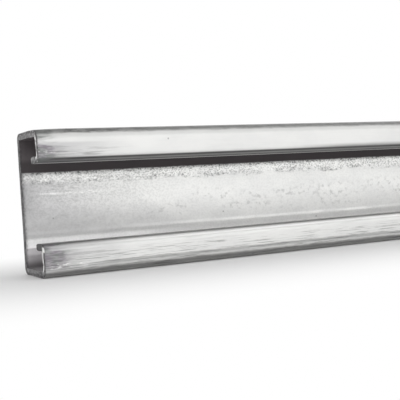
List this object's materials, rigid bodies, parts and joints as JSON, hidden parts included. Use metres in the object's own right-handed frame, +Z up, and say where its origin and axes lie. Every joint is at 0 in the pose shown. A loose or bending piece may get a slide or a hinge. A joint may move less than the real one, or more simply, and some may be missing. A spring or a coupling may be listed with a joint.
{
  "type": "strut channel",
  "caption": "Shallow roll-formed C-section strut channel in galvanised steel, with inturned lips along an open slot that holds channel nuts for brackets and hangers.",
  "frame": {"origin": "middle of the face that it rests on: the underside of the lower flange, halfway along the length and halfway through the depth", "axes": "+X along the channel, +Y from the open slot towards the back of the web, +Z up across the width"},
  "size_m": [0.6096, 0.0206, 0.0413],
  "materials": {
    "galvanised_steel": "satin mill-galvanised, with fine crystalline speckle, streaks along the rolling direction, grey smudges near the sawn ends and bare steel on the cuts"
  },
  "bodies": {
    "root": {"channel": "galvanised_steel"}
  },
  "joints": []
}
